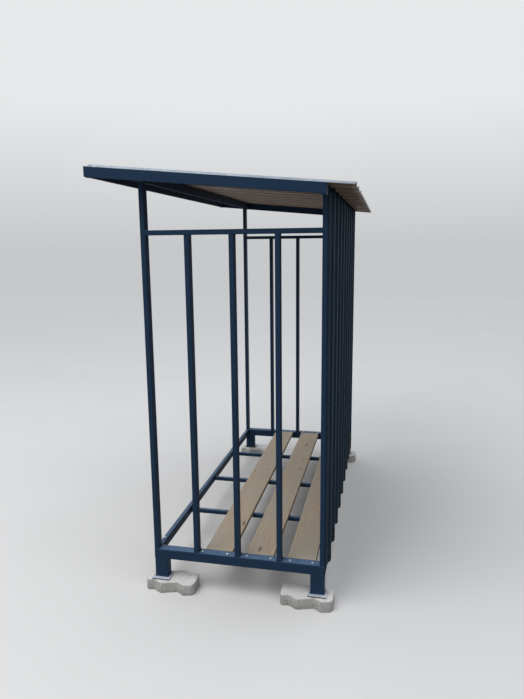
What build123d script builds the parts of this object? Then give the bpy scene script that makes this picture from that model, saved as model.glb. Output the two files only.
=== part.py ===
from build123d import *
import math
import os

# Log store: a welded frame of steel tubes on four pavers, with barred ends, one long
# side and the roof clad in ribbed steel sheet, and the other long side open.
# Millimetres. X is the length, the open side faces -Y, the clad side is +Y, +Z is up.
# The origin is on the ground, in the middle of the plan.

# Frame
length = 1770.0
depth = 760.0
bar_width = 20.0
bar_depth = 40.0
bars_per_end = 3
end_rail_drop = 117.0
strip_radius = 1.0
small_radius = 2.0
large_radius = 3.0

# Base
paver_height = 50.0
plate_thickness = 5.0
plate_width = 80.0
plate_depth = 60.0
foot_width = 60.0
foot_depth = 40.0
foot_height = 87.0
end_base_depth = 40.0
end_base_height = 40.0
end_strip_thickness = 5.0
long_base_width = 20.0
long_base_height = 40.0

# Pavers: one zigzag edge from end to end, in parts of half the width and half the length
paver_length = 230.0
paver_width = 126.0
paver_edge_ratios = [(0.48, -1.0), (0.73, -0.9), (0.62, -0.67), (1.0, -0.32),
                     (0.64, 0.3), (1.0, 0.57), (0.86, 0.91), (0.6, 1.0)]
paver_chamfer = 4.0
paver_inset = 45.0

# Floor
board_thickness = 20.0
board_side_gap = 21.0
board_end_gap = 2.0
bearer_size = 20.0
bearer_count = 3

# Roof
roof_slope = 5.42
front_overhang = 190.0
back_overhang = 106.0
end_overhang = 80.0
front_post_top = 1770.5
roof_bar_height = 40.0
roof_bar_width = 20.0

# Ribbed sheet
sheet_thickness = 0.8
roof_rib_count = 11
wall_rib_count = 9
rib_height = 12.0
rib_crest = 30.0
rib_base = 58.0
roof_edge_flat = 28.0
wall_lap = 12.0
wall_top_gap = 2.0
girt_size = 20.0

# Levels, apart from those that hang from the sloped roof
foot_bottom = paver_height + plate_thickness
base_bottom = foot_bottom + foot_height
strip_bottom = base_bottom + end_base_height
base_top = strip_bottom + end_strip_thickness
board_bottom = base_top - board_thickness
wall_bottom = base_bottom - wall_lap

# Plan lines
x_end = length / 2
x_roof = x_end + end_overhang
y_front = front_overhang - (front_overhang + depth + back_overhang) / 2
y_back = y_front + depth
y_eave_front = y_front - front_overhang
y_eave_back = y_back + back_overhang
bar_pitch = (depth - bar_width) / (bars_per_end + 1)
rib_pitch = (2 * (x_roof - roof_edge_flat) - rib_base) / (roof_rib_count - 1)


def roof_underside(y):
    """Height of the roof bars' lower faces, which fall towards the clad side."""
    return front_post_top - (y - y_front) * math.tan(math.radians(roof_slope))


def sheet_seat(y):
    """Height of the roof bars' upper faces, which the roof sheet lies on."""
    return roof_underside(y) + roof_bar_height


end_rail_top = roof_underside(y_back) - end_rail_drop
end_rail_bottom = end_rail_top - bar_width


def inward(end, size, outer=x_end):
    """Limits along X, counted inward from the near (+1) or far (-1) end."""
    return tuple(sorted((end * outer, end * (outer - size))))


def inside(side, size):
    """Limits along Y, counted inward from the front (-1) or back (+1) posts' outer faces."""
    y_outer = y_front if side < 0 else y_back
    return tuple(sorted((y_outer, y_outer - side * size)))


def bar(x, y, z, axis, radius=small_radius):
    """A bar between pairs of limits, with its long edges rounded."""
    limits = (x, y, z)
    centre = [(low + high) / 2 for low, high in limits]
    solid = Pos(*centre) * Box(*[high - low for low, high in limits])
    return fillet(solid.edges().filter_by(axis), radius)


def roof_bar(x, y, radius=small_radius):
    """A roof bar with plumb sides, whose upper and lower faces follow the slope."""
    corners = [(y[0], roof_underside(y[0])), (y[1], roof_underside(y[1])),
               (y[1], sheet_seat(y[1])), (y[0], sheet_seat(y[0]))]
    face = make_face(Polyline([(x[0], *corner) for corner in corners], close=True))
    solid = extrude(face, x[1] - x[0], dir=(1, 0, 0))
    return fillet(solid.edges().sort_by(SortBy.LENGTH)[-4:], radius)


def sheet_section(x_edge, rib_count):
    """Section of a ribbed sheet, with its flats' underside on the local X axis."""
    rise = math.atan2(rib_height, (rib_base - rib_crest) / 2)

    def surface(lift):
        spread = lift * math.tan(rise / 2)
        points = [(-x_edge, lift)]
        for rib in range(rib_count):
            centre = (rib - (rib_count - 1) / 2) * rib_pitch
            points += [(centre - rib_base / 2 - spread, lift),
                       (centre - rib_crest / 2 - spread, lift + rib_height),
                       (centre + rib_crest / 2 + spread, lift + rib_height),
                       (centre + rib_base / 2 + spread, lift)]
        return points + [(x_edge, lift)]

    outline = surface(0.0) + surface(sheet_thickness)[::-1]
    return make_face(Polyline(outline, close=True))


def roof_sheet():
    """Sheet over the roof bars, past the front edge bar's line and the back posts."""
    slope = math.radians(roof_slope)
    y_low = y_eave_back - (rib_height + sheet_thickness) * math.sin(slope)
    eave = Plane(origin=(0, y_low, sheet_seat(y_low)), x_dir=(1, 0, 0),
                 z_dir=(0, -math.cos(slope), math.sin(slope)))
    run = (y_low - y_eave_front) / math.cos(slope)
    return extrude(eave * sheet_section(x_roof, roof_rib_count), run)


def wall_sheet():
    """Sheet on the back posts' outer faces, with its ribs in line with the roof's."""
    crest = y_back + rib_height + sheet_thickness
    foot = Plane(origin=(0, y_back, wall_bottom), x_dir=(1, 0, 0), z_dir=(0, 0, 1))
    height = sheet_seat(crest) - wall_top_gap - wall_bottom
    return extrude(foot * sheet_section(x_end, wall_rib_count), height)


def paver():
    """A zigzag paver that lies along Y, the same when turned half round."""
    edge = [(x * paver_width / 2, y * paver_length / 2) for x, y in paver_edge_ratios]
    outline = edge + [(-x, -y) for x, y in edge]
    solid = extrude(make_face(Polyline(outline, close=True)), paver_height)
    return chamfer(solid.edges().group_by(Axis.Z)[-1], paver_chamfer)


def corner_pieces(end, side):
    """Paver, base plate, foot and post of one corner, by name."""
    foot_x = inward(end, foot_depth)
    foot_y = inside(side, foot_width)
    x_foot = sum(foot_x) / 2
    y_foot = sum(foot_y) / 2
    post_x = inward(end, bar_depth)
    post_y = inside(side, bar_width)
    blank = bar(post_x, post_y, (base_top, roof_underside(post_y[0])), Axis.Z)
    above = roof_bar((post_x[0] - bar_width, post_x[1] + bar_width),
                     (post_y[0] - bar_width, post_y[1] + bar_width))
    x_plate = end * (x_end - foot_depth + plate_depth / 2)
    plate = Box(plate_depth, plate_width, plate_thickness)
    return {
        "paver": Pos(x_foot, y_foot - side * paver_inset, 0) * paver(),
        "base_plate": Pos(x_plate, y_foot, paver_height + plate_thickness / 2) * plate,
        "foot": bar(foot_x, foot_y, (foot_bottom, base_bottom), Axis.Z, large_radius),
        "post": blank - above,
    }


def end_pieces(end):
    """Base rail and the strip on it, bars, top rail and rafter of one end, by name."""
    x_base = inward(end, end_base_depth)
    x_bar = inward(end, bar_depth)
    y_posts = (y_front, y_back)
    between_posts = (y_front + bar_width, y_back - bar_width)
    pieces = {
        "end_base": bar(x_base, y_posts, (base_bottom, strip_bottom), Axis.Y, large_radius),
        "end_strip": bar(x_base, y_posts, (strip_bottom, base_top), Axis.Y, strip_radius),
        "end_rail": bar(x_bar, between_posts, (end_rail_bottom, end_rail_top), Axis.Y),
        "rafter": roof_bar(inward(end, roof_bar_width, x_roof), (y_eave_front, y_back)),
    }
    for number in range(1, bars_per_end + 1):
        y_bar = y_front + number * bar_pitch
        pieces[f"end_bar_{number}"] = bar(x_bar, (y_bar, y_bar + bar_width),
                                          (base_top, end_rail_bottom), Axis.Z)
    return pieces


def long_pieces():
    """Rails, girt and roof bars that run between the two ends, by name."""
    between_bases = (-x_end + end_base_depth, x_end - end_base_depth)
    between_posts = (-x_end + bar_depth, x_end - bar_depth)
    between_rafters = (-x_roof + roof_bar_width, x_roof - roof_bar_width)
    base_z = (base_top - long_base_height, base_top)
    girt_bottom = (base_top + end_rail_top - girt_size) / 2
    girt_z = (girt_bottom, girt_bottom + girt_size)
    front_edge = (y_eave_front, y_eave_front + roof_bar_width)
    return {
        "front_base": bar(between_bases, inside(-1, long_base_width), base_z, Axis.X),
        "back_base": bar(between_bases, inside(1, long_base_width), base_z, Axis.X),
        "wall_girt": bar(between_posts, inside(1, girt_size), girt_z, Axis.X),
        "roof_edge": roof_bar(between_rafters, front_edge),
        "front_beam": roof_bar(between_rafters, inside(-1, roof_bar_width)),
        "back_beam": roof_bar(between_rafters, inside(1, roof_bar_width)),
    }


def floor_pieces():
    """Boards over every bay but the front one, and the bearers under them, by name."""
    pieces = {}
    board_length = length - 2 * (end_base_depth + board_end_gap)
    board_width = bar_pitch - bar_width - 2 * board_side_gap
    board = Box(board_length, board_width, board_thickness)
    for number in range(1, bars_per_end + 1):
        y_board = y_front + (number + 0.5) * bar_pitch + bar_width / 2
        pieces[f"floor_board_{number}"] = Pos(0, y_board, base_top - board_thickness / 2) * board
    bearer_y = (y_front + long_base_width, y_back - long_base_width)
    spacing = (length - 2 * end_base_depth) / (bearer_count + 1)
    for number in range(1, bearer_count + 1):
        x_bearer = -x_end + end_base_depth + number * spacing
        bearer_x = (x_bearer - bearer_size / 2, x_bearer + bearer_size / 2)
        bearer_z = (board_bottom - bearer_size, board_bottom)
        pieces[f"floor_bearer_{number}"] = bar(bearer_x, bearer_y, bearer_z, Axis.Y)
    return pieces


def all_pieces():
    """Every piece of the store, by node name."""
    nodes = {"roof_sheet": roof_sheet(), "wall_sheet": wall_sheet()}
    nodes.update(long_pieces())
    nodes.update(floor_pieces())
    for end, end_name in ((1, "near"), (-1, "far")):
        for name, piece in end_pieces(end).items():
            nodes[f"{name}_{end_name}"] = piece
        for side, side_name in ((-1, "front"), (1, "back")):
            for name, piece in corner_pieces(end, side).items():
                nodes[f"{name}_{end_name}_{side_name}"] = piece
    return nodes


os.makedirs("parts", exist_ok=True)
for node, shape in all_pieces().items():
    export_step(shape, f"parts/{node}.step")
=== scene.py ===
import math
import random

import bmesh
import bpy
from mathutils import Matrix, Vector, noise


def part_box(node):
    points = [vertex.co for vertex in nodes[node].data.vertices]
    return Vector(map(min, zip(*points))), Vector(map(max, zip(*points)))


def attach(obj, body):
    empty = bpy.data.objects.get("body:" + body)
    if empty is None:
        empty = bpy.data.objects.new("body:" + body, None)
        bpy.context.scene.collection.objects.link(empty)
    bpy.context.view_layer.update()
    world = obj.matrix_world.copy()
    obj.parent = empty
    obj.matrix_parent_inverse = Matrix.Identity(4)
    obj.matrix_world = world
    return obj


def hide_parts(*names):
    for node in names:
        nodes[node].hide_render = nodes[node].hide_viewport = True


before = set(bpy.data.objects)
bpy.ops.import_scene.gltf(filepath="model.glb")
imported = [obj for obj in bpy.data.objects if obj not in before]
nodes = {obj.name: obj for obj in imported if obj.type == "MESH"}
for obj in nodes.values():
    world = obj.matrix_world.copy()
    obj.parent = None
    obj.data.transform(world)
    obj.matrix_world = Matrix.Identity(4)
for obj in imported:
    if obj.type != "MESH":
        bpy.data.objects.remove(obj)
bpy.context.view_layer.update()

# Ribbed sheets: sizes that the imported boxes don't hold, and the finer form of the skins
ROOF_SLOPE = math.radians(5.42)
SOLID_SHEET_THICKNESS = 0.0008
SHEET_THICKNESS = 0.0006
BEND_RADIUS = 0.003
BEND_STEPS = 3
RIB_CREST, RIB_BASE, RIB_HEIGHT = 0.030, 0.058, 0.012
SWAGE_WIDTH, SWAGE_FLAT, SWAGE_HEIGHT = 0.016, 0.004, 0.0018
SWAGE_PLACES = (0.36, 0.64)
ROOF_RIBS = 11
WALL_RIBS = 9
ROOF_EDGE_FLAT = 0.028
ROOF_ROWS, WALL_ROWS = 46, 60
ROOF_RIPPLE, WALL_RIPPLE = 0.0009, 0.0008

# Weld beads: their radii, and how far they stay inside the edges that they run towards
BAR_BEAD = 0.0024
THIN_BEAD = 0.002
BEAM_BEAD = 0.0022
FOOT_BEAD = 0.0025
PLATE_BEAD = 0.003
RIM_INSET = 0.0015
EDGE_INSET = 0.001
TOP_INSET = 0.002
CORNER_INSET = 0.003

# Screws: places along each end strip from its front end, and one on the front rail
STRIP_SCREWS = (0.219, 0.333, 0.421, 0.526, 0.610, 0.708)
FRONT_SCREW_X = 0.777
FRONT_SCREW_INSET = 0.0065
WALL_SCREW_INSET = 0.018
TOP_SCREW_DROP = 0.006

# Pavers: one zigzag edge from end to end, in parts of half the width and half the length,
# then their rounded edges, the roughness of their skin and their knocked corners
PAVER_EDGE = [(0.48, -1.0), (0.73, -0.9), (0.62, -0.67), (1.0, -0.32),
              (0.64, 0.3), (1.0, 0.57), (0.86, 0.91), (0.6, 1.0)]
PAVER_EDGE_ROUND = 0.0025
PAVER_CHAMFER = 0.0042
PAVER_VOXEL = 0.0021
PAVER_FOOT = 0.0015
PAVER_GRAIN, PAVER_SAND, PAVER_SWELL = 0.0005, 0.00045, 0.0012
PAVER_SHRINK = 0.0007
PAVER_KNOCKS = 7
KNOCK_DROP = 0.012
KNOCK_REACH = (0.004, 0.010)
KNOCK_DEPTH = 0.4

# Floor boards: columns along them, places across them, and how far they are off plane
BOARD_COLUMNS = 90
BOARD_PLACES = (0.0, 0.006, 0.02, 0.25, 0.5, 0.75, 0.98, 0.994, 1.0)
BOARD_WEAR = 0.0012
BOARD_CUP = 0.0008
BOARD_UNEVEN = 0.0005
BOARD_WANDER = 0.0006
BOARD_END = 0.0004

# Camera, as fitted to the photograph
CAMERA_PLACE = Vector((3.1056, 0.6454, 1.5154))
CAMERA_YAW = math.radians(12.2535)
CAMERA_PITCH = math.radians(10.2138)
CAMERA_ROLL = math.radians(-0.5796)
FOCAL_PIXELS = 575.5
FRAME_PIXELS = (524, 699)
SENSOR_WIDTH = 36.0
FAR_CLIP = 60.0

# Stage: its floor, the one lamp, and how high the sky and the backdrop reach full tone
FLOOR_HALF = 14.0
FLOOR_DROP = 0.0006
LAMP_PLACE = Vector((2.8, -1.9, 5.2))
LAMP_AIM = Vector((0, 0, 0.8))
LAMP_LENGTH, LAMP_WIDTH = 3.6, 3.0
LAMP_WATTS = 140.0
LAMP_COLOUR = (1.0, 0.985, 0.96)
SKY_RISE, BACKDROP_RISE = 0.75, 0.22

# Colours that a material blends in, and pairs that it varies between
# A blue for upper faces: partly dusting, partly a painted sky sheen
DUST_AND_SKY_SHEEN = (0.21, 0.345, 0.54)
MUD = (0.15, 0.135, 0.12)
METAL_STAIN = (0.27, 0.25, 0.22)
# Near black for painted shade on the upright faces of base plates
PLATE_SIDE_SHADE = (0.045, 0.042, 0.04)
# Concrete for the sides, and a lighter copy for the tops: painted light from above
CONCRETE_SIDE_SHADED = (0.42, 0.415, 0.40), (0.56, 0.555, 0.535)
CONCRETE_TOP_LIT = (0.60, 0.595, 0.58), (0.80, 0.795, 0.775)
MOTTLE_DARK, MOTTLE_PALE = (0.30, 0.285, 0.26), (0.86, 0.85, 0.82)
SAND_DARK, SAND_PALE = (0.24, 0.23, 0.21), (0.80, 0.79, 0.76)
PIT = (0.16, 0.15, 0.135)
SOIL = (0.25, 0.205, 0.16)
EARLY_WOOD, LATE_WOOD = (0.56, 0.45, 0.32), (0.36, 0.27, 0.18)
GREYED_WOOD = (0.42, 0.40, 0.36)
KNOT = (0.12, 0.07, 0.04)
RUBBER_TONES = (0.018, 0.018, 0.019), (0.035, 0.035, 0.036)
FLOOR_UNSEEN = (0.27, 0.255, 0.235)
FLOOR_SHOWN = (0.66, 0.655, 0.645), (0.70, 0.695, 0.685)
SKY = (0.29, 0.30, 0.32), (0.94, 0.97, 1.02)
BACKDROP = (0.565, 0.575, 0.59), (0.80, 0.81, 0.82)


def make_camera():
    """The camera of the photograph, which looks along -X, turned, tipped down and rolled."""
    ahead = Vector((-math.cos(CAMERA_YAW), -math.sin(CAMERA_YAW), 0))
    right = Vector((-math.sin(CAMERA_YAW), math.cos(CAMERA_YAW), 0))
    up = Vector((0, 0, 1))
    look = ahead * math.cos(CAMERA_PITCH) - up * math.sin(CAMERA_PITCH)
    top = up * math.cos(CAMERA_PITCH) + ahead * math.sin(CAMERA_PITCH)
    side = right * math.cos(CAMERA_ROLL) + top * math.sin(CAMERA_ROLL)
    top = top * math.cos(CAMERA_ROLL) - right * math.sin(CAMERA_ROLL)
    data = bpy.data.cameras.new("camera")
    data.sensor_width = SENSOR_WIDTH
    data.lens = data.sensor_width * FOCAL_PIXELS / max(FRAME_PIXELS)
    data.clip_end = FAR_CLIP
    camera = bpy.data.objects.new("camera", data)
    bpy.context.scene.collection.objects.link(camera)
    turn = Matrix((side, top, -look)).transposed()
    camera.matrix_world = Matrix.Translation(CAMERA_PLACE) @ turn.to_4x4()
    bpy.context.scene.camera = camera


# Materials

def add(tree, kind, inputs=None, **settings):
    """A shader node, with its settings and with values or sockets for its inputs."""
    node = tree.nodes.new(kind)
    for name, value in settings.items():
        setattr(node, name, value)
    for name, value in (inputs or {}).items():
        put(tree, node.inputs[name], value)
    return node


def put(tree, socket, value):
    """Link a socket to another, or set its value."""
    if isinstance(value, bpy.types.NodeSocket):
        tree.links.new(value, socket)
    elif hasattr(value, "__len__") and len(value) == 3 and socket.type == "RGBA":
        socket.default_value = (*value, 1.0)
    else:
        socket.default_value = value


def new_material(name, **sockets):
    """A material with its node tree and shader, whose sockets take the given values."""
    material = bpy.data.materials.new(name)
    material.use_nodes = True
    tree = material.node_tree
    shader = tree.nodes["Principled BSDF"]
    for socket, value in sockets.items():
        put(tree, shader.inputs[socket.replace("_", " ")], value)
    return material, tree, shader


def place(tree, stretch=None):
    """Object coordinates in metres, in which every piece shares one frame."""
    coordinates = add(tree, "ShaderNodeTexCoord").outputs["Object"]
    if stretch is None:
        return coordinates
    mapping = add(tree, "ShaderNodeMapping", {"Vector": coordinates, "Scale": stretch})
    return mapping.outputs["Vector"]


def noise_value(tree, where, scale, detail=4.0, roughness=0.55, distortion=0.0):
    node = add(tree, "ShaderNodeTexNoise", {
        "Vector": where, "Scale": scale, "Detail": detail, "Roughness": roughness,
        "Distortion": distortion})
    return node.outputs["Fac"]


def cells(tree, where, scale, output="Distance", **settings):
    node = add(tree, "ShaderNodeTexVoronoi", {"Vector": where, "Scale": scale}, **settings)
    return node.outputs[output]


def span(tree, value, low, high, start=0.0, end=1.0):
    """A value moved from one range to another, and kept inside it."""
    node = add(tree, "ShaderNodeMapRange", {
        "Value": value, "From Min": low, "From Max": high, "To Min": start, "To Max": end})
    return node.outputs["Result"]


def times(tree, a, b):
    return add(tree, "ShaderNodeMath", {0: a, 1: b}, operation="MULTIPLY").outputs["Value"]


def plus(tree, a, b):
    return add(tree, "ShaderNodeMath", {0: a, 1: b}, operation="ADD").outputs["Value"]


def blend_colour(tree, share, first, second):
    node = add(tree, "ShaderNodeMix", data_type="RGBA")
    put(tree, node.inputs["Factor"], share)
    put(tree, node.inputs[6], first)
    put(tree, node.inputs[7], second)
    return node.outputs[2]


def bump(tree, height, depth, normal=None, strength=1.0):
    inputs = {"Height": height, "Distance": depth, "Strength": strength}
    if normal is not None:
        inputs["Normal"] = normal
    return add(tree, "ShaderNodeBump", inputs).outputs["Normal"]


def facing_up(tree, low=0.5, high=0.95):
    """1 on faces whose normal's height is past high, which may be the lower of the two."""
    normal = add(tree, "ShaderNodeNewGeometry").outputs["Normal"]
    axes = add(tree, "ShaderNodeSeparateXYZ", {"Vector": normal})
    return span(tree, axes.outputs["Z"], low, high)


def height_above_ground(tree):
    return add(tree, "ShaderNodeSeparateXYZ", {"Vector": place(tree)}).outputs["Z"]


def splashed(tree, colour, foot, top, grain, start):
    """A colour with splashes of mud, which thin out between two heights above the ground."""
    low = span(tree, height_above_ground(tree), foot, top, 1.0, 0.0)
    splash = times(tree, low, span(tree, grain, start, 0.7))
    return blend_colour(tree, times(tree, splash, 0.4), colour, MUD)


def painted(name, dark, light, rough, dust_and_sheen_share, peel):
    """Satin paint on steel: patchy tone, dusting with a painted blue sky sheen on upper
    faces, dry rough undersides and splashes near the ground."""
    material, tree, shader = new_material(name, Specular_IOR_Level=0.15)
    where = place(tree)
    colour = blend_colour(tree, noise_value(tree, where, 7.0), dark, light)
    grain = noise_value(tree, where, 55.0, 6.0, 0.7)
    # Upper faces are mixed towards blue: dusting and a painted reflection of the sky
    dust_and_sheen = times(tree, facing_up(tree), span(tree, grain, 0.3, 0.75, 0.35, 1.0))
    colour = blend_colour(tree, times(tree, dust_and_sheen, dust_and_sheen_share), colour, DUST_AND_SKY_SHEEN)
    colour = splashed(tree, colour, 0.06, 0.24, noise_value(tree, where, 210.0, 4.0, 0.7), 0.56)
    put(tree, shader.inputs["Base Color"], colour)
    satin = span(tree, grain, 0.25, 0.8, rough - 0.06, rough + 0.14)
    put(tree, shader.inputs["Roughness"],
        plus(tree, satin, times(tree, facing_up(tree, -0.5, -0.9), 0.4)))
    fine = bump(tree, noise_value(tree, where, 620.0, 2.0), peel)
    wide = bump(tree, noise_value(tree, where, 28.0, 2.0), 0.0006, fine)
    put(tree, shader.inputs["Normal"], wide)
    return material


def coated_sheet(name, dark, light):
    """Matt coil coating with faint streaks down the sheet and mud splashes near the ground."""
    material, tree, shader = new_material(name, Specular_IOR_Level=0.05)
    where = place(tree)
    streaks = noise_value(tree, place(tree, (38, 38, 1.1)), 1.0, 5.0, 0.6)
    patches = noise_value(tree, where, 5.0, 3.0)
    tone = span(tree, plus(tree, streaks, patches), 0.75, 1.25)
    colour = blend_colour(tree, tone, dark, light)
    colour = splashed(tree, colour, 0.12, 0.40, noise_value(tree, where, 170.0, 5.0, 0.75), 0.52)
    put(tree, shader.inputs["Base Color"], colour)
    put(tree, shader.inputs["Roughness"], span(tree, streaks, 0.3, 0.7, 0.5, 0.66))
    put(tree, shader.inputs["Normal"], bump(tree, noise_value(tree, where, 900.0, 2.0), 0.00008))
    return material


def back_coat(name, dark, light):
    """The thin beige coat on the back of ribbed sheet, streaked along the rolling."""
    material, tree, shader = new_material(name, Specular_IOR_Level=0.12)
    streaks = noise_value(tree, place(tree, (46, 1.4, 46)), 1.0, 5.0, 0.6)
    patches = noise_value(tree, place(tree), 4.0, 4.0, 0.6)
    tone = span(tree, plus(tree, streaks, patches), 0.75, 1.25)
    put(tree, shader.inputs["Base Color"], blend_colour(tree, tone, dark, light))
    put(tree, shader.inputs["Roughness"], span(tree, patches, 0.3, 0.7, 0.42, 0.6))
    put(tree, shader.inputs["Normal"], bump(tree, noise_value(tree, place(tree), 700.0), 0.00008))
    return material


def coated_metal(name, dark, light, rough, spangle, metallic=0.82, side_shade=0.0):
    """Zinc or aluminium-zinc coated steel, with spangle, a dull weathered bloom and, when asked,
    painted shade on its upright faces.
    """
    material, tree, shader = new_material(name, Metallic=metallic)
    where = place(tree)
    flakes = cells(tree, where, spangle, "Color")
    flake = add(tree, "ShaderNodeSeparateXYZ", {"Vector": flakes}).outputs["X"]
    bloom = noise_value(tree, where, 11.0, 5.0, 0.65)
    tone = span(tree, plus(tree, times(tree, flake, 0.45), bloom), 0.4, 1.0)
    colour = blend_colour(tree, tone, dark, light)
    dirt = span(tree, noise_value(tree, where, 34.0, 6.0, 0.75), 0.58, 0.78)
    colour = blend_colour(tree, times(tree, dirt, 0.3), colour, METAL_STAIN)
    # Upright faces darkened towards near black: painted shade on the sides
    if side_shade:
        upright = facing_up(tree, 0.7, 0.2)
        colour = blend_colour(tree, times(tree, upright, side_shade), colour, PLATE_SIDE_SHADE)
    put(tree, shader.inputs["Base Color"], colour)
    put(tree, shader.inputs["Roughness"],
        span(tree, plus(tree, flake, bloom), 0.3, 1.6, rough - 0.05, rough + 0.16))
    put(tree, shader.inputs["Normal"], bump(tree, flake, 0.00004))
    return material


def concrete(name):
    """Rough grey concrete: blotches, mottling, sand, pits and soil at the foot, with tops painted
    lighter than the sides as painted light from above.
    """
    material, tree, shader = new_material(name, Roughness=0.93, Specular_IOR_Level=0.25)
    where = place(tree)
    blotch = span(tree, noise_value(tree, where, 19.0, 5.0, 0.6), 0.3, 0.72)
    # Tops are a lighter copy of the sides: painted light from above
    side = blend_colour(tree, blotch, *CONCRETE_SIDE_SHADED)
    top = blend_colour(tree, blotch, *CONCRETE_TOP_LIT)
    colour = blend_colour(tree, facing_up(tree, 0.55, 0.9), side, top)
    mottle = noise_value(tree, where, 105.0, 5.0, 0.8)
    colour = blend_colour(tree, span(tree, mottle, 0.5, 0.68, 0.0, 0.5), colour, MOTTLE_DARK)
    colour = blend_colour(tree, span(tree, mottle, 0.46, 0.34, 0.0, 0.5), colour, MOTTLE_PALE)
    sand = noise_value(tree, where, 620.0, 3.0, 0.8)
    colour = blend_colour(tree, span(tree, sand, 0.5, 0.75, 0.0, 0.6), colour, SAND_DARK)
    colour = blend_colour(tree, span(tree, sand, 0.42, 0.28, 0.0, 0.5), colour, SAND_PALE)
    pits = span(tree, cells(tree, where, 240.0), 0.16, 0.05)
    colour = blend_colour(tree, times(tree, pits, 0.5), colour, PIT)
    low = span(tree, height_above_ground(tree), 0.002, 0.03, 1.0, 0.0)
    soil = times(tree, low, span(tree, noise_value(tree, where, 60.0, 5.0, 0.7), 0.35, 0.65))
    colour = blend_colour(tree, times(tree, soil, 0.6), colour, SOIL)
    put(tree, shader.inputs["Base Color"], colour)
    rough = bump(tree, sand, 0.0007)
    hollow = bump(tree, times(tree, pits, -1.0), 0.0012, rough)
    put(tree, shader.inputs["Normal"], hollow)
    return material


def sawn_wood(name):
    """Sawn softwood along X, greyed by the weather, with grain, knots and saw marks."""
    material, tree, shader = new_material(name, Roughness=0.78, Specular_IOR_Level=0.3)
    where = place(tree, (1.3, 17, 17))
    bend = noise_value(tree, place(tree, (2.2, 9, 9)), 1.0, 3.0)
    rings = add(tree, "ShaderNodeTexWave", {
        "Vector": where, "Scale": 2.4, "Distortion": 9.0, "Detail": 3.0, "Detail Scale": 1.4},
        bands_direction="Y").outputs["Fac"]
    fibre = noise_value(tree, place(tree, (14, 520, 520)), 1.0, 3.0, 0.7)
    grain = plus(tree, times(tree, rings, 0.6), times(tree, fibre, 0.5))
    colour = blend_colour(tree, span(tree, grain, 0.15, 0.95), EARLY_WOOD, LATE_WOOD)
    grey = span(tree, bend, 0.35, 0.7, 0.15, 0.62)
    colour = blend_colour(tree, grey, colour, GREYED_WOOD)
    knots = span(tree, cells(tree, place(tree, (4.2, 15, 15)), 1.0), 0.13, 0.06)
    colour = blend_colour(tree, times(tree, knots, 0.85), colour, KNOT)
    put(tree, shader.inputs["Base Color"], colour)
    saw = noise_value(tree, place(tree, (260, 6, 6)), 1.0, 2.0)
    marks = bump(tree, saw, 0.0004)
    put(tree, shader.inputs["Normal"], bump(tree, grain, 0.0009, marks))
    return material


def seal_rubber(name):
    """Black rubber with a faint mottle."""
    material, tree, shader = new_material(name, Roughness=0.8)
    where = place(tree)
    tone = noise_value(tree, where, 300.0, 4.0)
    put(tree, shader.inputs["Base Color"], blend_colour(tree, tone, *RUBBER_TONES))
    put(tree, shader.inputs["Normal"], bump(tree, noise_value(tree, where, 1500.0), 0.0001))
    return material


PAINT = painted("frame_paint", (0.0072, 0.0255, 0.058), (0.0116, 0.0345, 0.076),
                0.5, 0.45, 0.00012)
# End strips: paint half again lighter than the frame's, a painted highlight for the light caught
# by the tube's rounded corner below
STRIP_PAINTED_HIGHLIGHT = painted("strip_paint_painted_highlight", (0.0112, 0.0390, 0.088), (0.0176, 0.0525, 0.115),
                0.5, 0.48, 0.00012)
WELD = painted("weld_paint", (0.0068, 0.0240, 0.054), (0.0110, 0.0325, 0.072),
               0.44, 0.24, 0.00018)
COATING = coated_sheet("wall_coating", (0.0098, 0.0205, 0.0350), (0.0145, 0.0285, 0.0470))
# The roof's back coat is a darker, browner copy of the wall's: painted shade under the roof and a
# painted reflection of brown ground
ROOF_BACK_SHADED = back_coat("roof_back_coat_shaded", (0.160, 0.108, 0.076), (0.222, 0.154, 0.110))
WALL_BACK = back_coat("wall_back_coat", (0.205, 0.197, 0.187), (0.246, 0.237, 0.226))
ZINC = coated_metal("roof_zinc", (0.29, 0.345, 0.415), (0.43, 0.49, 0.56), 0.38, 210.0)
# Base plates: their upright faces get painted shade
PLATE = coated_metal("plate_steel", (0.44, 0.475, 0.55), (0.62, 0.655, 0.745), 0.5, 260.0,
                     0.12, 0.9)
SCREW = coated_metal("screw_zinc", (0.55, 0.57, 0.60), (0.74, 0.75, 0.76), 0.26, 900.0)
CONCRETE = concrete("paver_concrete")
WOOD = sawn_wood("board_wood")
RUBBER = seal_rubber("seal_rubber")
NODE_LOOKS = {"base_plate": PLATE, "end_strip": STRIP_PAINTED_HIGHLIGHT}


def dress_nodes():
    """Give the CAD nodes their looks: paint, unless the start of a name has its own."""
    for name, node in nodes.items():
        look = next((m for start, m in NODE_LOOKS.items() if name.startswith(start)), PAINT)
        for slot in node.material_slots:
            slot.material = look


# Pieces

def make_piece(name, mesh, material, replaces=(), smooth=True):
    """A piece that rides on the store, with the material unless its mesh has some already."""
    piece = bpy.data.objects.new(name, mesh)
    bpy.context.scene.collection.objects.link(piece)
    if not mesh.materials:
        mesh.materials.append(material)
    for face in mesh.polygons:
        face.use_smooth = smooth
    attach(piece, "root")
    if replaces:
        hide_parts(*replaces)
    return piece


def mesh_from(name, points, faces):
    mesh = bpy.data.meshes.new(name)
    mesh.from_pydata([tuple(p) for p in points], [], faces)
    mesh.update()
    return mesh


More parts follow.
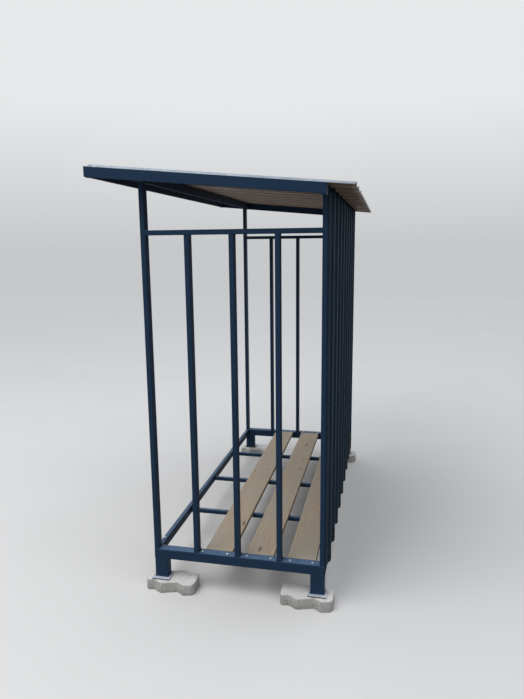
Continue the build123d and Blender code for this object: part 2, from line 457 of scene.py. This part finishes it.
def rounded_line(corners, radius, steps):
    """The points of an open line in a plane, with each inner corner turned into an arc."""
    points = [Vector(corners[0])]
    for before, at, after in zip(corners, corners[1:], corners[2:]):
        before, at, after = Vector(before), Vector(at), Vector(after)
        back = (before - at).normalized()
        on = (after - at).normalized()
        turn = math.pi - back.angle(on)
        if turn < 0.01:
            points.append(at)
            continue
        reach = radius * math.tan(turn / 2)
        centre = at + (back + on).normalized() * radius / math.cos(turn / 2)
        first = at + back * reach - centre
        last = at + on * reach - centre
        sweep = first.angle(last)
        for step in range(steps + 1):
            share = step / steps
            leg = (first * math.sin((1 - share) * sweep) + last * math.sin(share * sweep))
            points.append(centre + leg / math.sin(sweep))
    points.append(Vector(corners[-1]))
    return points


def sheet_profile(length, ribs, pitch):
    """The ribbed sheet's line, with two shallow swages in each full flat."""
    corners = [(-length / 2, 0.0)]
    centres = [(rib - (ribs - 1) / 2) * pitch for rib in range(ribs)]
    for number, centre in enumerate(centres):
        for side in (-1, 1):
            foot = (centre + side * RIB_BASE / 2, 0.0)
            crest = (centre + side * RIB_CREST / 2, RIB_HEIGHT)
            corners += [foot, crest] if side < 0 else [crest, foot]
        if number + 1 < ribs:
            for share in SWAGE_PLACES:
                middle = centre + RIB_BASE / 2 + share * (pitch - RIB_BASE)
                corners += [(middle - SWAGE_WIDTH / 2, 0.0),
                            (middle - SWAGE_FLAT / 2, SWAGE_HEIGHT),
                            (middle + SWAGE_FLAT / 2, SWAGE_HEIGHT),
                            (middle + SWAGE_WIDTH / 2, 0.0)]
    corners.append((length / 2, 0.0))
    return rounded_line(corners, BEND_RADIUS, BEND_STEPS)


def ribbed_sheet(name, looks, profile, run, rows, to_place, ripple):
    """A thin closed sheet that follows a profile across and runs straight along, with a
    slight wave in its flats, one look on its outer face and one on its back."""
    across = len(profile)
    normals = []
    for index in range(across):
        ahead = profile[min(index + 1, across - 1)] - profile[max(index - 1, 0)]
        normals.append(Vector((-ahead.y, ahead.x)).normalized())
    points = []
    for lift in (0.0, SHEET_THICKNESS):
        for row in range(rows + 1):
            along = run * row / rows
            for point, normal in zip(profile, normals):
                wave = ripple * noise.noise(Vector((point.x * 9, along * 5, 3.1)))
                wave *= 1 - min(1.0, point.y / SWAGE_HEIGHT)
                spot = point + normal * lift
                points.append(to_place @ Vector((spot.x, spot.y + max(0.0, wave), along)))
    faces = []
    layer = across * (rows + 1)
    for row in range(rows):
        for column in range(across - 1):
            a = row * across + column
            b = a + 1
            c = b + across
            d = a + across
            faces.append((a, b, c, d))
            faces.append((a + layer, d + layer, c + layer, b + layer))
    skins = len(faces)
    rim = list(range(across))
    rim += [row * across + across - 1 for row in range(1, rows + 1)]
    rim += [rows * across + column for column in range(across - 2, -1, -1)]
    rim += [row * across for row in range(rows - 1, 0, -1)]
    for a, b in zip(rim, rim[1:] + rim[:1]):
        faces.append((b, a, a + layer, b + layer))
    mesh = mesh_from(name, points, faces)
    for look in looks:
        mesh.materials.append(look)
    for face in mesh.polygons[:skins]:
        face.material_index = 1 - face.index % 2
    return mesh


def axes(x_axis, y_axis, z_axis, origin):
    """The matrix that takes local axes to the given ones, at a place."""
    turn = Matrix((x_axis, y_axis, z_axis)).transposed()
    return Matrix.Translation(origin) @ turn.to_4x4()


def build_sheets():
    """The roof's and the wall's skins. Gives the ribs' pitch and the roof's own axes."""
    low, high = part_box("roof_sheet")
    length = high.x - low.x
    pitch = (length - RIB_BASE - 2 * ROOF_EDGE_FLAT) / (ROOF_RIBS - 1)
    rise = Vector((0, -math.cos(ROOF_SLOPE), math.sin(ROOF_SLOPE)))
    lift = Vector((0, math.sin(ROOF_SLOPE), math.cos(ROOF_SLOPE)))
    lean = (RIB_HEIGHT + SOLID_SHEET_THICKNESS) * math.sin(ROOF_SLOPE)
    run = (high.y - low.y - lean) / math.cos(ROOF_SLOPE)
    roof_place = axes(Vector((1, 0, 0)), lift, rise, Vector((0, high.y - lean, low.z)))
    roof = ribbed_sheet("roof_skin", (ZINC, ROOF_BACK_SHADED), sheet_profile(length, ROOF_RIBS, pitch),
                        run, ROOF_ROWS, roof_place, ROOF_RIPPLE)
    make_piece("roof_skin", roof, ZINC, ["roof_sheet"])
    low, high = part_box("wall_sheet")
    wall_place = axes(Vector((-1, 0, 0)), Vector((0, 1, 0)), Vector((0, 0, 1)),
                      Vector((0, low.y, low.z)))
    wall = ribbed_sheet("wall_skin", (COATING, WALL_BACK),
                        sheet_profile(high.x - low.x, WALL_RIBS, pitch),
                        high.z - low.z, WALL_ROWS, wall_place, WALL_RIPPLE)
    make_piece("wall_skin", wall, COATING, ["wall_sheet"])
    return pitch, roof_place


def bead_points(corners, closed, step=0.0013):
    """Points a small step apart along a line of corners."""
    path = [Vector(c) for c in corners]
    if closed:
        path.append(path[0])
    points = []
    for start, end in zip(path, path[1:]):
        count = max(2, round((end - start).length / step))
        points += [start.lerp(end, i / count) for i in range(count)]
    return points if closed else points + [path[-1]]


class Beads:
    """Weld beads, gathered in one mesh: tubes along corners with ripples and uneven width."""

    sides = 7
    ripple = 0.0034
    valley_width, ripple_rise = 0.86, 0.2
    unevenness = 0.13
    lumps = 160.0
    end_width, taper = 0.45, 2.5

    def __init__(self, seed):
        self.points = []
        self.faces = []
        self.draw = random.Random(seed)

    def lay(self, corners, radius, closed=False):
        """Add one bead along a line of corners."""
        line = bead_points(corners, closed)
        count = len(line)
        start = len(self.points)
        shift = self.draw.random()
        travelled = 0.0
        for index, point in enumerate(line):
            before = line[index - 1] if index or closed else point
            after = line[(index + 1) % count] if index + 1 < count or closed else point
            ahead = (after - before).normalized()
            across = ahead.orthogonal().normalized()
            if abs(ahead.z) < 0.9:
                across = ahead.cross(Vector((0, 0, 1))).normalized()
            above = ahead.cross(across)
            travelled += (point - before).length if index else 0.0
            phase = (travelled / self.ripple + shift) % 1.0
            width = radius * (self.valley_width + self.ripple_rise * (1 - phase) ** 0.5)
            width *= 1 + self.unevenness * noise.noise(point * self.lumps)
            if not closed:
                ends = min(index, count - 1 - index) / self.taper
                width *= min(1.0, self.end_width + (1 - self.end_width) * ends)
            for side in range(self.sides):
                angle = 2 * math.pi * side / self.sides
                spoke = across * math.cos(angle) + above * math.sin(angle)
                self.points.append(point + spoke * width)
        rings = count if closed else count - 1
        for ring in range(rings):
            a = start + ring * self.sides
            b = start + (ring + 1) % count * self.sides
            for side in range(self.sides):
                on = (side + 1) % self.sides
                self.faces.append((a + side, a + on, b + on, b + side))
        if not closed:
            self.faces.append(tuple(start + s for s in reversed(range(self.sides))))
            last = start + (count - 1) * self.sides
            self.faces.append(tuple(last + s for s in range(self.sides)))

    def finish(self, name):
        make_piece(name, mesh_from(name, self.points, self.faces), WELD)


def weld_bars(beads, end, name, outer):
    """The beads at the feet and heads of one end's bars."""
    for number in (1, 2, 3):
        low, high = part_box(f"end_bar_{number}_{name}")
        inner = low.x if end > 0 else high.x
        rim = outer - end * RIM_INSET
        beads.lay([(rim, low.y, low.z), (inner, low.y, low.z),
                   (inner, high.y, low.z), (rim, high.y, low.z)], BAR_BEAD)
        for y in (low.y, high.y):
            beads.lay([(inner + end * EDGE_INSET, y, high.z),
                       (outer - end * EDGE_INSET, y, high.z)], THIN_BEAD)


def weld_corner(beads, end, name, side, where, outer):
    """The beads of one corner: at its post's foot, rail and head, and at its tube foot's
    ends."""
    low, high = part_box(f"post_{name}_{where}")
    inner = low.x if end > 0 else high.x
    y_in = high.y if side < 0 else low.y
    y_out = low.y if side < 0 else high.y
    edge = outer - end * EDGE_INSET
    beads.lay([(inner, y_out - side * CORNER_INSET, low.z), (inner, y_in, low.z),
               (outer - end * RIM_INSET, y_in, low.z)], BAR_BEAD)
    for rail_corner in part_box(f"end_rail_{name}"):
        beads.lay([(inner, y_in, rail_corner.z), (edge, y_in, rail_corner.z)], THIN_BEAD)
    head = high.z if side > 0 else high.z - (high.y - low.y) * math.tan(ROOF_SLOPE)
    beads.lay([(inner, y_in, head), (edge, y_in, head)], THIN_BEAD)
    low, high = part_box(f"foot_{name}_{where}")
    beads.lay([(low.x, low.y, low.z), (high.x, low.y, low.z),
               (high.x, high.y, low.z), (low.x, high.y, low.z)], PLATE_BEAD, closed=True)
    y_foot = high.y if side < 0 else low.y
    base_low, base_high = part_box(f"end_base_{name}")
    base_inner = base_low.x if end > 0 else base_high.x
    beads.lay([(base_inner, y_foot, high.z), (edge, y_foot, high.z)], FOOT_BEAD)


def weld_long_bars(beads, end):
    """The beads where the long rails and roof bars meet one end. None is laid on a face that
    the wall sheet covers."""
    for bar in ("front_base", "back_base"):
        low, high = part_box(bar)
        face = high.x if end > 0 else low.x
        corners = [(face, low.y, high.z - EDGE_INSET), (face, low.y, low.z),
                   (face, high.y - CORNER_INSET, low.z), (face, high.y, high.z - EDGE_INSET)]
        beads.lay(corners[:3] if bar == "back_base" else corners, BAR_BEAD)
    for bar in ("roof_edge", "front_beam", "back_beam", "wall_girt"):
        low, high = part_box(bar)
        face = high.x if end > 0 else low.x
        drop = 0.0 if bar == "wall_girt" else (high.y - low.y) * math.tan(ROOF_SLOPE)
        corners = [(face, low.y, high.z - TOP_INSET), (face, low.y, low.z + drop),
                   (face, high.y - CORNER_INSET, low.z),
                   (face, high.y, high.z - drop - TOP_INSET)]
        clad = bar in ("wall_girt", "back_beam")
        beads.lay(corners[:3] if clad else corners, BEAM_BEAD)


def weld_end(end, name):
    """The beads of one barred end, from its feet to its rafter."""
    beads = Beads(f"beads {name}")
    base_low, base_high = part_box(f"end_base_{name}")
    outer = base_high.x if end > 0 else base_low.x
    weld_bars(beads, end, name, outer)
    for side, where in ((-1, "front"), (1, "back")):
        weld_corner(beads, end, name, side, where, outer)
    weld_long_bars(beads, end)
    beads.finish(f"weld_beads_{name}")


def ring_points(radius, height, sides, turn=0.0):
    return [Vector((radius * math.cos(turn + 2 * math.pi * i / sides),
                    radius * math.sin(turn + 2 * math.pi * i / sides), height))
            for i in range(sides)]


def stacked_rings(rings, sides):
    """Faces between rings of points, closed at the top."""
    faces = []
    for layer in range(rings - 1):
        for i in range(sides):
            j = (i + 1) % sides
            a = layer * sides
            faces.append((a + i, a + j, a + sides + j, a + sides + i))
    faces.append(tuple(range((rings - 1) * sides, rings * sides)))
    return faces


class Fasteners:
    """Many small turned parts in one mesh, each laid with a matrix."""

    def __init__(self):
        self.points = []
        self.faces = []
        self.marks = []

    def turned(self, where, outline, sides=20, mark=0, turn=0.0):
        """Add a part whose outline is radii and heights. The mark is its material's number."""
        start = len(self.points)
        for radius, height in outline:
            self.points += [where @ p for p in ring_points(radius, height, sides, turn)]
        faces = stacked_rings(len(outline), sides)
        self.faces += [tuple(start + i for i in face) for face in faces]
        self.marks += [mark] * len(faces)

    def finish(self, name, slot, looks):
        mesh = mesh_from(name, self.points, self.faces)
        for look in looks:
            mesh.materials.append(look)
        for face, mark in zip(mesh.polygons, self.marks):
            face.material_index = mark
        make_piece(name, mesh, looks[0], smooth=False)


def hex_screw(group, where, turn, size=0.004, washer=0.0075):
    """A self-drilling screw's head: seal, dished washer, flange and hexagon."""
    group.turned(where, [(washer * 0.93, 0.0), (washer, 0.0007), (washer * 0.94, 0.0017)], 20, 1)
    group.turned(where, [(washer * 0.96, 0.0016), (washer * 0.94, 0.0022), (size * 1.35, 0.0032)],
                 20)
    group.turned(where, [(size * 1.32, 0.0031), (size * 1.32, 0.0038), (size * 1.12, 0.0042)], 20)
    group.turned(where, [(size * 1.12, 0.0041), (size * 1.12, 0.0078), (size * 0.98, 0.0086)],
                 6, 0, turn)
    group.turned(where, [(size * 0.70, 0.0086), (size * 0.62, 0.0089)], 12)


def pan_screw(group, where, turn):
    """A washer-head screw with a shallow domed head and a cross drive."""
    group.turned(where, [(0.0058, 0.0), (0.0058, 0.0007), (0.0052, 0.0011)])
    group.turned(where, [(0.0040, 0.0010), (0.0038, 0.0019), (0.0030, 0.0026), (0.0016, 0.0029)],
                 16)
    slot_length, slot_width, slot_height = 0.0021, 0.00045, 0.00302
    corners = [(x * slot_length, y * slot_width, slot_height)
               for x, y in ((-1, -1), (1, -1), (1, 1), (-1, 1))]
    for quarter in (0, math.pi / 2):
        spin = where @ Matrix.Rotation(turn + quarter, 4, "Z")
        start = len(group.points)
        group.points += [spin @ Vector(corner) for corner in corners]
        group.faces.append((start, start + 1, start + 2, start + 3))
        group.marks.append(1)


def roof_screws(draw, pitch, roof_place):
    """Screws through the roof's flats into the three long roof bars."""
    group = Fasteners()
    for bar in ("roof_edge", "front_beam", "back_beam"):
        low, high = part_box(bar)
        along = (roof_place.translation.y - (low.y + high.y) / 2) / math.cos(ROOF_SLOPE)
        for flat in range(ROOF_RIBS - 1):
            across = (flat - (ROOF_RIBS - 2) / 2) * pitch
            where = roof_place @ Matrix.Translation((across, SHEET_THICKNESS, along))
            where = where @ Matrix.Rotation(-math.pi / 2, 4, "X")
            hex_screw(group, where, draw.uniform(0, 1))
    group.finish("roof_screws", "roof_zinc", [SCREW, RUBBER])


def wall_screws(draw, pitch):
    """Screws through the wall's flats into the base rail, the girt and the back beam."""
    group = Fasteners()
    sheet_low, sheet_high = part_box("wall_sheet")
    edge = sheet_high.x - WALL_SCREW_INSET
    for bar in ("back_base", "wall_girt", "back_beam"):
        low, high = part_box(bar)
        level = (low.z + high.z) / 2
        if bar == "back_beam":
            level -= TOP_SCREW_DROP
        for flat in range(WALL_RIBS + 1):
            across = (flat - WALL_RIBS / 2) * pitch
            across = max(-edge, min(edge, across))
            where = Matrix.Translation((across, sheet_low.y + SHEET_THICKNESS, level))
            where = where @ Matrix.Rotation(-math.pi / 2, 4, "X")
            hex_screw(group, where, draw.uniform(0, 1))
    group.finish("wall_screws", "wall_coating", [PAINT, RUBBER])


def rail_screws(draw):
    """The screws on the end strips' and the front rail's upper faces."""
    front_low, front_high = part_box("front_base")
    for end, name in ((1, "near"), (-1, "far")):
        group = Fasteners()
        low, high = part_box(f"end_strip_{name}")
        middle = (low.x + high.x) / 2
        for y in STRIP_SCREWS:
            where = Matrix.Translation((middle, low.y + y, high.z))
            pan_screw(group, where, draw.uniform(0, 1.5))
        where = Matrix.Translation((end * FRONT_SCREW_X, front_low.y + FRONT_SCREW_INSET,
                                    front_high.z))
        pan_screw(group, where, draw.uniform(0, 1.5))
        group.finish(f"rail_screws_{name}", "plate_steel", [SCREW, RUBBER])


def build_screws(pitch, roof_place):
    draw = random.Random(41)
    roof_screws(draw, pitch, roof_place)
    wall_screws(draw, pitch)
    rail_screws(draw)


def remeshed(block, voxel, name):
    """A mesh with its surface made again from voxels, as a new mesh."""
    holder = bpy.data.objects.new("holder", block)
    bpy.context.scene.collection.objects.link(holder)
    modifier = holder.modifiers.new("remesh", "REMESH")
    modifier.mode = "VOXEL"
    modifier.voxel_size = voxel
    graph = bpy.context.evaluated_depsgraph_get()
    mesh = bpy.data.meshes.new_from_object(holder.evaluated_get(graph))
    mesh.name = name
    bpy.data.objects.remove(holder)
    return mesh


def paver_block(name, outline, height):
    """A block with a zigzag outline, small rounds on its upright edges and a chamfered rim,
    cut into small even faces."""
    bm = bmesh.new()
    face = bm.faces.new([bm.verts.new((x, y, 0.0)) for x, y in outline])
    raised = bmesh.ops.extrude_face_region(bm, geom=[face])
    for part in raised["geom"]:
        if isinstance(part, bmesh.types.BMVert):
            part.co.z = height
    bm.normal_update()
    bmesh.ops.recalc_face_normals(bm, faces=bm.faces[:])
    upright = [e for e in bm.edges if abs(e.verts[0].co.z - e.verts[1].co.z) > height / 2]
    bmesh.ops.bevel(bm, geom=upright, offset=PAVER_EDGE_ROUND, segments=2, affect="EDGES",
                    profile=0.5)
    rim = [e for e in bm.edges if all(v.co.z > height - 1e-6 for v in e.verts)
           and len(e.link_faces) == 2
           and any(abs(f.normal.z) < 0.5 for f in e.link_faces)]
    bmesh.ops.bevel(bm, geom=rim, offset=PAVER_CHAMFER, segments=1, affect="EDGES", profile=0.5)
    block = bpy.data.meshes.new(name)
    bm.to_mesh(block)
    bm.free()
    return remeshed(block, PAVER_VOXEL, name)


def paver_mesh(name, low, high, seed):
    """A cast paver with softened edges, a sandy skin and a few knocked corners."""
    centre = (low + high) / 2
    half = (high - low) / 2
    edge = [Vector((x * half.x, y * half.y)) for x, y in PAVER_EDGE]
    outline = [(centre.x + p.x, centre.y + p.y) for p in edge + [-p for p in edge]]
    mesh = paver_block(name, outline, high.z)
    draw = random.Random(seed)
    knocks = []
    for _ in range(PAVER_KNOCKS):
        corner = outline[draw.randrange(len(outline))]
        spot = Vector((*corner, high.z - draw.uniform(0.0, KNOCK_DROP)))
        knocks.append((spot, draw.uniform(*KNOCK_REACH)))
    normals = [v.normal.copy() for v in mesh.vertices]
    for vertex, normal in zip(mesh.vertices, normals):
        point = vertex.co
        if point.z < PAVER_FOOT:
            vertex.co.z = 0.0
            continue
        skin = PAVER_GRAIN * noise.noise(point * 130 + Vector((seed, 0, 0)))
        skin += PAVER_SAND * noise.noise(point * 420)
        swell = PAVER_SWELL * noise.noise(point * 24 + Vector((0, seed, 0)))
        for spot, reach in knocks:
            gap = (point - spot).length
            if gap < reach:
                skin -= KNOCK_DEPTH * (reach - gap) * (0.7 + 0.3 * noise.noise(point * 200))
        vertex.co += normal * (skin + swell - PAVER_SHRINK)
        vertex.co.z = max(0.0, vertex.co.z)
    return mesh


def build_pavers():
    for number, name in enumerate(("near_front", "near_back", "far_front", "far_back")):
        low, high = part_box(f"paver_{name}")
        mesh = paver_mesh(f"paver_{name}_cast", low, high, number + 5)
        make_piece(f"paver_{name}_cast", mesh, CONCRETE, [f"paver_{name}"])


def board_mesh(number):
    """A sawn board with worn edges, a little cup and rough ends."""
    low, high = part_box(f"floor_board_{number}")
    draw = random.Random(number * 17)
    top = []
    bottom = []
    for column in range(BOARD_COLUMNS + 1):
        x = low.x + (high.x - low.x) * column / BOARD_COLUMNS
        if column in (0, BOARD_COLUMNS):
            x += draw.uniform(-BOARD_END, BOARD_END)
        for share in BOARD_PLACES:
            y = low.y + (high.y - low.y) * share
            at_side = share in (0.0, 1.0)
            drop = BOARD_CUP * (1 - 4 * (share - 0.5) ** 2) + BOARD_WEAR * at_side
            uneven = BOARD_UNEVEN * noise.noise(Vector((x * 14, y * 30, number)))
            wander = BOARD_WANDER * noise.noise(Vector((x * 9, share * 2, number * 3.3)))
            top.append((x, y + wander * at_side, high.z - drop + uneven))
            bottom.append((x, y, low.z))
    count = len(BOARD_PLACES)
    last = count - 1
    under = len(top)
    faces = []
    for a in range(0, BOARD_COLUMNS * count, count):
        b = a + count
        for i in range(last):
            faces.append((a + i, b + i, b + i + 1, a + i + 1))
            faces.append((under + a + i, under + a + i + 1, under + b + i + 1, under + b + i))
        faces.append((a, under + a, under + b, b))
        faces.append((a + last, b + last, under + b + last, under + a + last))
    for a, flip in ((0, False), (BOARD_COLUMNS * count, True)):
        for i in range(last):
            quad = (a + i, a + i + 1, under + a + i + 1, under + a + i)
            faces.append(tuple(reversed(quad)) if flip else quad)
    return mesh_from(f"board_{number}", top + bottom, faces)


def build_boards():
    for number in (1, 2, 3):
        make_piece(f"sawn_board_{number}", board_mesh(number), WOOD,
                   [f"floor_board_{number}"], smooth=False)


# Stage

def shown(tree):
    """1 for the rays that show the stage: to the camera, and by gloss or through glass."""
    path = add(tree, "ShaderNodeLightPath")
    share = add(tree, "ShaderNodeMath", {0: path.outputs["Is Camera Ray"],
                                         1: path.outputs["Is Glossy Ray"]},
                operation="MAXIMUM").outputs["Value"]
    return add(tree, "ShaderNodeMath", {0: share, 1: path.outputs["Is Transmission Ray"]},
               operation="MAXIMUM").outputs["Value"]


def stage_floor():
    """A pale floor, which lights the object as a darker one does."""
    material, tree, shader = new_material("stage_floor", Roughness=0.95)
    tone = noise_value(tree, place(tree), 1.5, 3.0)
    pale = blend_colour(tree, tone, *FLOOR_SHOWN)
    put(tree, shader.inputs["Base Color"], blend_colour(tree, shown(tree), FLOOR_UNSEEN, pale))
    half = FLOOR_HALF
    corners = [(-half, -half, 0), (half, -half, 0), (half, half, 0), (-half, half, 0)]
    mesh = mesh_from("stage_floor", corners, [(0, 1, 2, 3)])
    mesh.materials.append(material)
    floor = bpy.data.objects.new("stage_floor", mesh)
    floor.location.z = -FLOOR_DROP
    bpy.context.scene.collection.objects.link(floor)


def light_scene():
    """An overcast dome, brightest overhead, with one broad soft light from above."""
    world = bpy.data.worlds.new("world")
    bpy.context.scene.world = world
    world.use_nodes = True
    tree = world.node_tree
    background = tree.nodes["Background"]
    direction = add(tree, "ShaderNodeTexCoord").outputs["Generated"]
    height = add(tree, "ShaderNodeSeparateXYZ", {"Vector": direction}).outputs["Z"]
    sky = blend_colour(tree, span(tree, height, 0.0, SKY_RISE), *SKY)
    backdrop = blend_colour(tree, span(tree, height, 0.0, BACKDROP_RISE), *BACKDROP)
    colour = blend_colour(tree, shown(tree), sky, backdrop)
    put(tree, background.inputs["Color"], colour)
    background.inputs["Strength"].default_value = 1.0
    lamp = bpy.data.lights.new("soft_top", "AREA")
    lamp.shape = "RECTANGLE"
    lamp.size = LAMP_LENGTH
    lamp.size_y = LAMP_WIDTH
    lamp.energy = LAMP_WATTS
    lamp.color = LAMP_COLOUR
    holder = bpy.data.objects.new("soft_top", lamp)
    holder.location = LAMP_PLACE
    holder.rotation_mode = "QUATERNION"
    holder.rotation_quaternion = (LAMP_AIM - LAMP_PLACE).to_track_quat("-Z", "Y")
    bpy.context.scene.collection.objects.link(holder)
    bpy.context.scene.view_settings.view_transform = "Standard"


make_camera()
dress_nodes()
rib_pitch, roof_matrix = build_sheets()
weld_end(1, "near")
weld_end(-1, "far")
build_screws(rib_pitch, roof_matrix)
build_pavers()
build_boards()
stage_floor()
light_scene()
